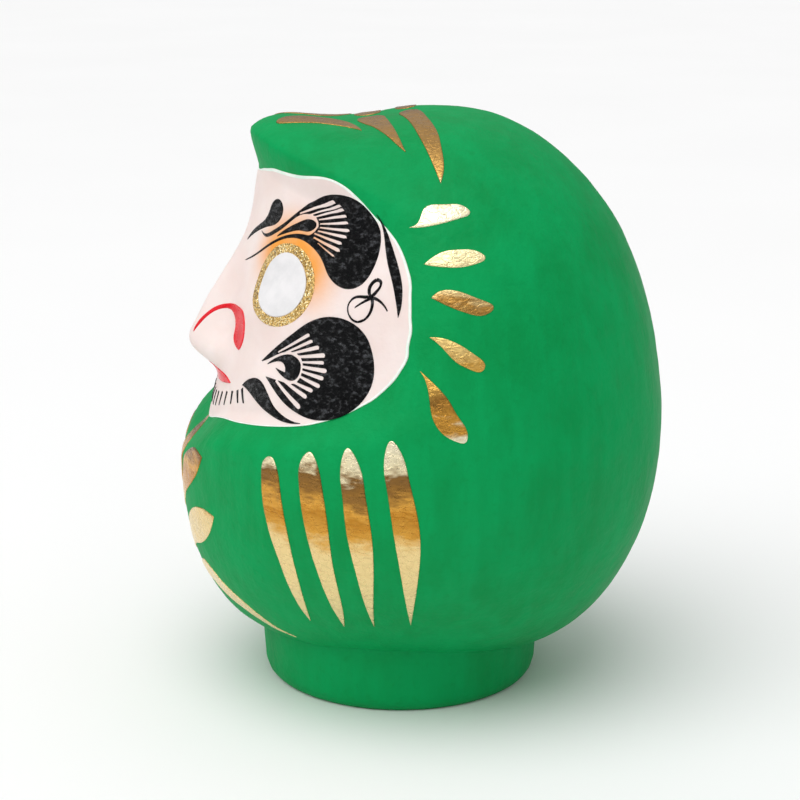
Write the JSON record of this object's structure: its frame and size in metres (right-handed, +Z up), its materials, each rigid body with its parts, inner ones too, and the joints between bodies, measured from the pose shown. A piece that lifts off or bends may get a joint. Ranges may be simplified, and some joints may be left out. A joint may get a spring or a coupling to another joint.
{
  "type": "daruma doll",
  "caption": "Round hollow papier-mache doll on a weighted foot ring, with a sunken painted face under a hood brow, blank eyes and gold foil brush marks.",
  "frame": {"origin": "centre of the foot, on the surface the doll stands on", "axes": "+Z up, the doll faces -Y, its own left side is +X"},
  "size_m": [0.159, 0.1535, 0.1829],
  "materials": {
    "green_coat": "satin brushed glue paint on moulded paper pulp",
    "clay": "dry unglazed clay",
    "base_paper": "plain uncoated card",
    "flesh_coat": "smooth matt shell-white ground tinted pink, orange blush by the eyes",
    "eye_white": "matt white",
    "gold_glitter": "fine gold glitter in clear glue",
    "black_enamel": "glossy black over rough brushwork",
    "red_enamel": "gloss red",
    "gold_foil": "bright gold foil with small creases"
  },
  "bodies": {
    "root": {"body_shell": "green_coat", "foot_ring": "green_coat", "ballast": "clay", "base_paper": "base_paper", "face_ground": "flesh_coat", "eye_white_left": "eye_white", "eye_ring_left": "gold_glitter", "brow_drop_left": "black_enamel", "brow_left": "black_enamel", "beard_left": "black_enamel", "beard_lock_left": "black_enamel", "side_whisker_left": "black_enamel", "curl_left": "black_enamel", "nose_line_left": "red_enamel", "crown_foil_front_left": "gold_foil", "crown_foil_middle_left": "gold_foil", "crown_foil_rear_left": "gold_foil", "cheek_foil_1_left": "gold_foil", "cheek_foil_2_left": "gold_foil", "cheek_foil_3_left": "gold_foil", "cheek_foil_4_left": "gold_foil", "cheek_foil_5_left": "gold_foil", "belly_foil_1_left": "gold_foil", "belly_foil_2_left": "gold_foil", "belly_foil_3_left": "gold_foil", "belly_foil_4_left": "gold_foil", "emblem_leaf_upper_left": "gold_foil", "emblem_leaf_middle_left": "gold_foil", "emblem_leaf_lower_left": "gold_foil", "eye_white_right": "eye_white", "eye_ring_right": "gold_glitter", "brow_drop_right": "black_enamel", "brow_right": "black_enamel", "beard_right": "black_enamel", "beard_lock_right": "black_enamel", "side_whisker_right": "black_enamel", "curl_right": "black_enamel", "nose_line_right": "red_enamel", "crown_foil_front_right": "gold_foil", "crown_foil_middle_right": "gold_foil", "crown_foil_rear_right": "gold_foil", "cheek_foil_1_right": "gold_foil", "cheek_foil_2_right": "gold_foil", "cheek_foil_3_right": "gold_foil", "cheek_foil_4_right": "gold_foil", "cheek_foil_5_right": "gold_foil", "belly_foil_1_right": "gold_foil", "belly_foil_2_right": "gold_foil", "belly_foil_3_right": "gold_foil", "belly_foil_4_right": "gold_foil", "emblem_leaf_upper_right": "gold_foil", "emblem_leaf_middle_right": "gold_foil", "emblem_leaf_lower_right": "gold_foil", "emblem_bud": "gold_foil", "lips": "red_enamel", "chin_hairs": "black_enamel"}
  },
  "joints": []
}
